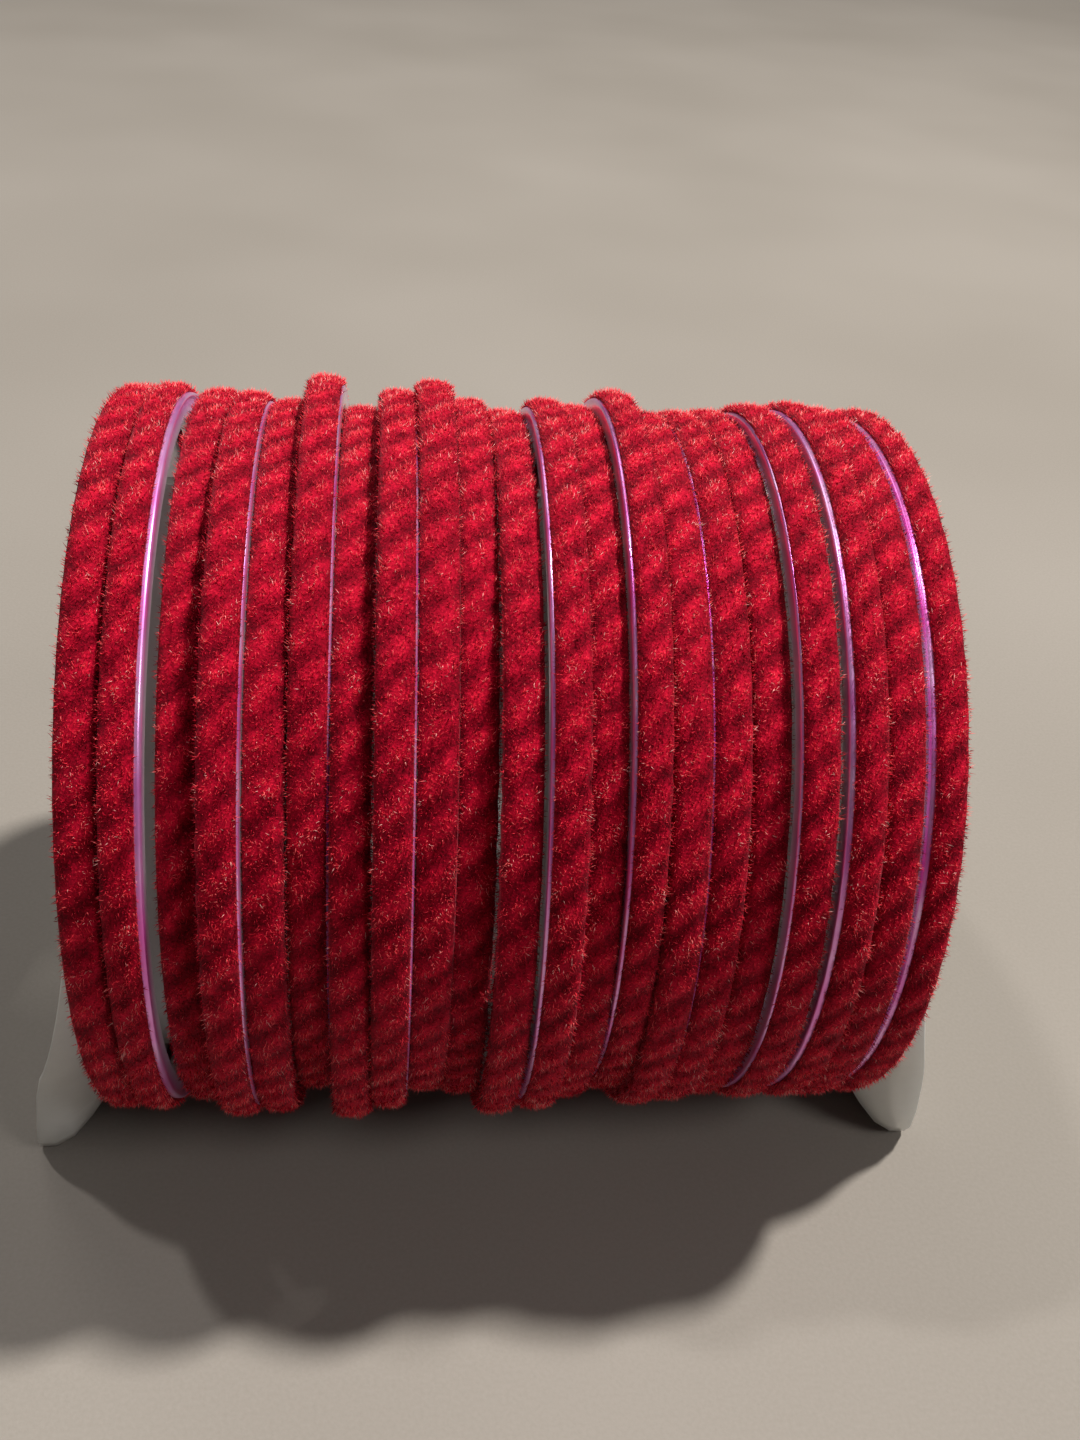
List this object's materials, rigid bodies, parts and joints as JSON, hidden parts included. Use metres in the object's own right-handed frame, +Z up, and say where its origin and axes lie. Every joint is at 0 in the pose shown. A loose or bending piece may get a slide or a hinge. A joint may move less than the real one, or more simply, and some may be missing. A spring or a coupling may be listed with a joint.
{
  "type": "bangle set",
  "caption": "Stack of slim metal bangles with ridged red velvet coats, held side by side on a curved white plastic holder with flared feet.",
  "frame": {"origin": "middle of the stack, on the table under the holder's feet", "axes": "+X along the bangles' common axis, +Y away from the front, +Z up"},
  "size_m": [0.0872, 0.0686, 0.0679],
  "materials": {
    "ring": "polished, lacquered pink",
    "velvet": "cut velvet with slanted ridges",
    "holder": "satin white"
  },
  "bodies": {
    "holder": {"holder": "holder"},
    "bangle_01": {"ring_01": "ring", "velvet_01": "velvet"},
    "bangle_02": {"ring_02": "ring", "velvet_02": "velvet"},
    "bangle_03": {"ring_03": "ring", "velvet_03": "velvet"},
    "bangle_04": {"ring_04": "ring", "velvet_04": "velvet"},
    "bangle_05": {"ring_05": "ring", "velvet_05": "velvet"},
    "bangle_06": {"ring_06": "ring", "velvet_06": "velvet"},
    "bangle_07": {"ring_07": "ring", "velvet_07": "velvet"},
    "bangle_08": {"ring_08": "ring", "velvet_08": "velvet"},
    "bangle_09": {"ring_09": "ring", "velvet_09": "velvet"},
    "bangle_10": {"ring_10": "ring", "velvet_10": "velvet"},
    "bangle_11": {"ring_11": "ring", "velvet_11": "velvet"},
    "bangle_12": {"ring_12": "ring", "velvet_12": "velvet"},
    "bangle_13": {"ring_13": "ring", "velvet_13": "velvet"},
    "bangle_14": {"ring_14": "ring", "velvet_14": "velvet"},
    "bangle_15": {"ring_15": "ring", "velvet_15": "velvet"},
    "bangle_16": {"ring_16": "ring", "velvet_16": "velvet"},
    "bangle_17": {"ring_17": "ring", "velvet_17": "velvet"},
    "bangle_18": {"ring_18": "ring", "velvet_18": "velvet"},
    "bangle_19": {"ring_19": "ring", "velvet_19": "velvet"},
    "bangle_20": {"ring_20": "ring", "velvet_20": "velvet"},
    "bangle_21": {"ring_21": "ring", "velvet_21": "velvet"}
  },
  "joints": [
    {"name": "bangle_01_turn", "type": "hinge", "parent": "holder", "child": "bangle_01", "pos_m": [-0.03245, -0.0002, 0.03395], "axis": [1, 0, 0], "continuous": true},
    {"name": "bangle_02_turn", "type": "hinge", "parent": "holder", "child": "bangle_02", "pos_m": [-0.0293, -0.0008, 0.03445], "axis": [1, 0, 0], "continuous": true},
    {"name": "bangle_03_turn", "type": "hinge", "parent": "holder", "child": "bangle_03", "pos_m": [-0.02555, 0.001, 0.03325], "axis": [1, 0, 0], "continuous": true},
    {"name": "bangle_04_turn", "type": "hinge", "parent": "holder", "child": "bangle_04", "pos_m": [-0.0224, -0.0015, 0.03425], "axis": [1, 0, 0], "continuous": true},
    {"name": "bangle_05_turn", "type": "hinge", "parent": "holder", "child": "bangle_05", "pos_m": [-0.01925, -0.0003, 0.03315], "axis": [1, 0, 0], "continuous": true},
    {"name": "bangle_06_turn", "type": "hinge", "parent": "holder", "child": "bangle_06", "pos_m": [-0.0161, 0.0008, 0.03505], "axis": [1, 0, 0], "continuous": true},
    {"name": "bangle_07_turn", "type": "hinge", "parent": "holder", "child": "bangle_07", "pos_m": [-0.01295, -0.0009, 0.03295], "axis": [1, 0, 0], "continuous": true},
    {"name": "bangle_08_turn", "type": "hinge", "parent": "holder", "child": "bangle_08", "pos_m": [-0.0098, -0.0015, 0.03495], "axis": [1, 0, 0], "continuous": true},
    {"name": "bangle_09_turn", "type": "hinge", "parent": "holder", "child": "bangle_09", "pos_m": [-0.00665, 0.0001, 0.03525], "axis": [1, 0, 0], "continuous": true},
    {"name": "bangle_10_turn", "type": "hinge", "parent": "holder", "child": "bangle_10", "pos_m": [-0.0035, 0.0016, 0.03295], "axis": [1, 0, 0], "continuous": true},
    {"name": "bangle_11_turn", "type": "hinge", "parent": "holder", "child": "bangle_11", "pos_m": [-0.00035, -0.0009, 0.03315], "axis": [1, 0, 0], "continuous": true},
    {"name": "bangle_12_turn", "type": "hinge", "parent": "holder", "child": "bangle_12", "pos_m": [0.00305, -0.0016, 0.03465], "axis": [1, 0, 0], "continuous": true},
    {"name": "bangle_13_turn", "type": "hinge", "parent": "holder", "child": "bangle_13", "pos_m": [0.0062, 0.0009, 0.03305], "axis": [1, 0, 0], "continuous": true},
    {"name": "bangle_14_turn", "type": "hinge", "parent": "holder", "child": "bangle_14", "pos_m": [0.00935, 0.0004, 0.03485], "axis": [1, 0, 0], "continuous": true},
    {"name": "bangle_15_turn", "type": "hinge", "parent": "holder", "child": "bangle_15", "pos_m": [0.0125, 0, 0.03305], "axis": [1, 0, 0], "continuous": true},
    {"name": "bangle_16_turn", "type": "hinge", "parent": "holder", "child": "bangle_16", "pos_m": [0.01565, 0.0004, 0.03305], "axis": [1, 0, 0], "continuous": true},
    {"name": "bangle_17_turn", "type": "hinge", "parent": "holder", "child": "bangle_17", "pos_m": [0.0188, 0.0011, 0.03295], "axis": [1, 0, 0], "continuous": true},
    {"name": "bangle_18_turn", "type": "hinge", "parent": "holder", "child": "bangle_18", "pos_m": [0.02205, -0.0004, 0.03435], "axis": [1, 0, 0], "continuous": true},
    {"name": "bangle_19_turn", "type": "hinge", "parent": "holder", "child": "bangle_19", "pos_m": [0.0256, -0.0007, 0.03485], "axis": [1, 0, 0], "continuous": true},
    {"name": "bangle_20_turn", "type": "hinge", "parent": "holder", "child": "bangle_20", "pos_m": [0.02875, -0.0001, 0.03415], "axis": [1, 0, 0], "continuous": true},
    {"name": "bangle_21_turn", "type": "hinge", "parent": "holder", "child": "bangle_21", "pos_m": [0.03245, 0.0005, 0.03385], "axis": [1, 0, 0], "continuous": true}
  ]
}
